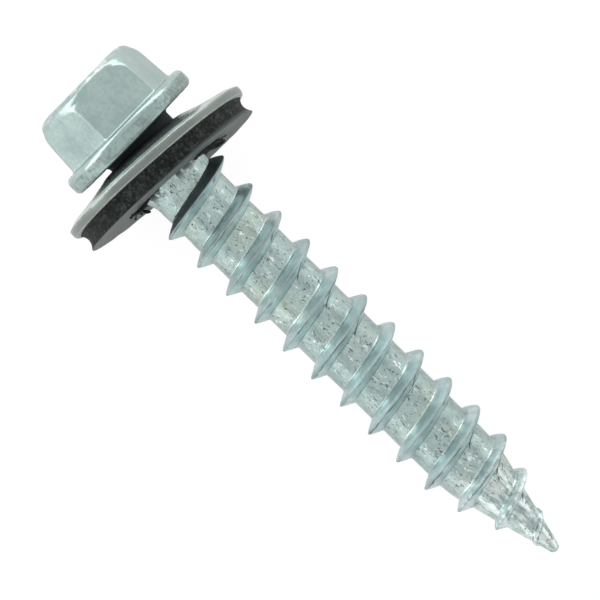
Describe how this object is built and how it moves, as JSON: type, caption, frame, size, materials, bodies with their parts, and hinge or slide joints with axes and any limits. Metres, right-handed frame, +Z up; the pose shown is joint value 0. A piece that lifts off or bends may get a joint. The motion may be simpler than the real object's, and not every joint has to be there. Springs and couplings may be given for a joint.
{
  "type": "metal roofing screw",
  "caption": "Hex washer head roofing screw with a coarse gimlet-point thread and a captive dished steel washer with a bonded rubber seal.",
  "frame": {"origin": "on the table, under the middle of the lying screw's bounding box", "axes": "+X from the head towards the point, +Z up from the table, +Y to the left of the screw as seen from the head"},
  "size_m": [0.0426, 0.0141, 0.0141],
  "materials": {
    "zinc_plated_steel": "bright zinc plating, slightly mottled",
    "washer_steel": "dull galvanised sheet",
    "seal_rubber": "matt black moulded rubber"
  },
  "bodies": {
    "screw": {"screw": "zinc_plated_steel"},
    "washer": {"steel_washer": "washer_steel", "rubber_seal": "seal_rubber"}
  },
  "joints": [
    {"name": "washer_spin", "type": "hinge", "parent": "screw", "child": "washer", "pos_m": [-0.01405, 0, 0.00695], "axis": [0.9901, 0, -0.1402], "continuous": true}
  ]
}
